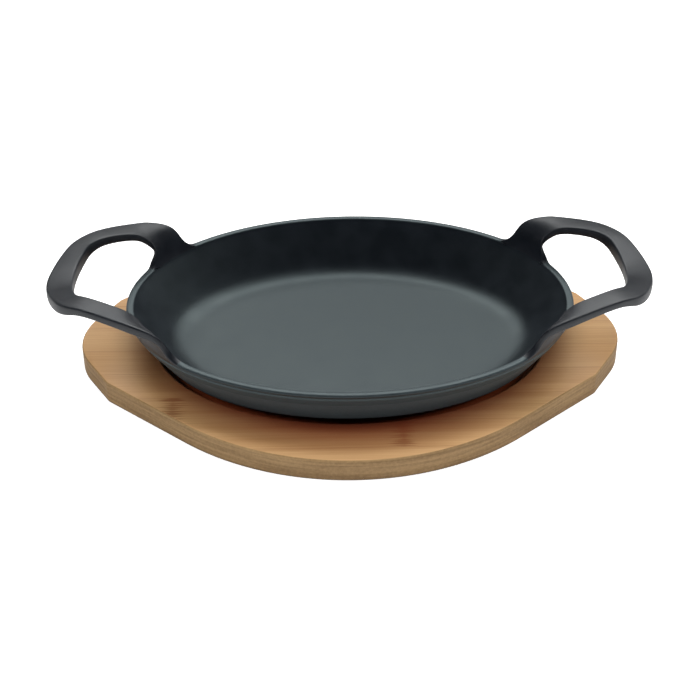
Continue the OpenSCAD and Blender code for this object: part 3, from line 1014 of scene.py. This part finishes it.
# The photograph's width, the lens's focal length and how far the picture's
# middle lies off the lens's axis, all in pixels
PHOTO_PIXELS = 697
FOCAL_PIXELS = 1563.5
SHIFT_RIGHT_PIXELS = -0.55
SHIFT_UP_PIXELS = -23.05
SENSOR_WIDTH_MM = 36

# Where the photograph was taken from, in degrees, and from how far
CAMERA_ELEVATION = 36
CAMERA_AZIMUTH = 0.18
CAMERA_ROLL = -0.35
CAMERA_DISTANCE = 0.85
AIM_HEIGHT = 0.02

# The pan stands about a degree turned in its recess there, and the camera goes
# most of the way round with it
PAN_TURN = 0.8
PAN_SHIFT = (0.0007, -0.0001, 0)


def make_floor():
    """White paper, which glows a little where the camera sees it, so that it is
    as white as the photograph's background and keeps the object's shadow."""
    bpy.ops.object.select_all(action="DESELECT")
    bpy.ops.mesh.primitive_plane_add(size=FLOOR_SIZE, location=(0, 0, 0))
    floor = bpy.context.object
    floor.name = "studio_floor"
    paper = new_material("white_paper")
    light_path = add(paper, "ShaderNodeLightPath")
    matte = add(paper, "ShaderNodeBsdfDiffuse", {"Color": colour("#e8e8e8")})
    glow = add(paper, "ShaderNodeEmission", {"Color": colour("#ffffff"), "Strength": 0.7})
    both = add(paper, "ShaderNodeAddShader", {0: matte.outputs["BSDF"], 1: glow.outputs["Emission"]})
    chosen = add(paper, "ShaderNodeMixShader", {
        0: light_path.outputs["Is Camera Ray"], 1: matte.outputs["BSDF"],
        2: both.outputs["Shader"]})
    add(paper, "ShaderNodeOutputMaterial", {"Surface": chosen.outputs["Shader"]})
    floor.data.materials.append(paper)


def make_world():
    """White for the camera, and nearly dark for all else."""
    world = bpy.data.worlds.new("studio")
    world.use_nodes = True
    world.node_tree.nodes.clear()
    bpy.context.scene.world = world
    light_path = add(world, "ShaderNodeLightPath")
    strength = add(world, "ShaderNodeMapRange", {
        "Value": light_path.outputs["Is Camera Ray"], "To Min": 0.03, "To Max": 1.0})
    sky = add(world, "ShaderNodeBackground", {
        "Color": colour("#ffffff"), "Strength": strength.outputs["Result"]})
    add(world, "ShaderNodeOutputWorld", {"Surface": sky.outputs["Background"]})


def add_lamp(name, place, aim, size, power, seen_in_gloss=True):
    """A soft rectangular lamp. One that isn't seen in gloss lights the matt side of
    the materials alone, so that the edges of the iron keep their dark lines."""
    bpy.ops.object.select_all(action="DESELECT")
    bpy.ops.object.light_add(type="AREA", location=place)
    lamp = bpy.context.object
    lamp.name = name
    lamp.data.shape = "RECTANGLE"
    lamp.data.size, lamp.data.size_y = size
    lamp.data.energy = power
    lamp.visible_glossy = seen_in_gloss
    lamp.rotation_euler = (Vector(aim) - Vector(place)).to_track_quat("-Z", "Y").to_euler()


def add_camera():
    """Sees the pan as the photograph does."""
    elevation, azimuth, roll = (
        math.radians(angle) for angle in (CAMERA_ELEVATION, CAMERA_AZIMUTH, CAMERA_ROLL))
    forward = Vector((
        math.sin(azimuth) * math.cos(elevation), math.cos(azimuth) * math.cos(elevation),
        -math.sin(elevation)))
    right = Vector((math.cos(azimuth), -math.sin(azimuth), 0))
    up = right.cross(forward)
    x = right * math.cos(roll) + up * math.sin(roll)
    y = up * math.cos(roll) - right * math.sin(roll)
    place = Vector((0, 0, AIM_HEIGHT)) - forward * CAMERA_DISTANCE
    bpy.ops.object.select_all(action="DESELECT")
    bpy.ops.object.camera_add()
    camera = bpy.context.object
    turn = Matrix((x, y, -forward)).transposed().to_4x4()
    pose = Matrix.Translation(PAN_SHIFT) @ Matrix.Rotation(math.radians(PAN_TURN), 4, "Z")
    camera.matrix_world = pose.inverted() @ Matrix.Translation(place) @ turn
    camera.data.sensor_fit = "HORIZONTAL"
    camera.data.sensor_width = SENSOR_WIDTH_MM
    camera.data.lens = FOCAL_PIXELS / PHOTO_PIXELS * SENSOR_WIDTH_MM
    camera.data.shift_x = SHIFT_RIGHT_PIXELS / PHOTO_PIXELS
    camera.data.shift_y = SHIFT_UP_PIXELS / PHOTO_PIXELS
    bpy.context.scene.camera = camera


make_floor()
make_world()
add_lamp("overhead_softbox", (0.25, 0.9, 1.42), (0, 0, 0), WIDE_BOX, 38)
add_lamp("front_card", (0, -1.3, 0.05), (0, 0, 0.02), WIDE_CARD, 11, seen_in_gloss=False)
add_lamp("front_fill", (0, -0.45, 1.7), (0, 0, 0), FILL_BOX, 10, seen_in_gloss=False)
for side in (-1, 1):
    add_lamp("side_fill", (side * 1.3, -0.1, 0.9), (0, 0, 0), SIDE_BOX, 10, seen_in_gloss=False)
add_camera()
bpy.context.scene.view_settings.view_transform = "Standard"
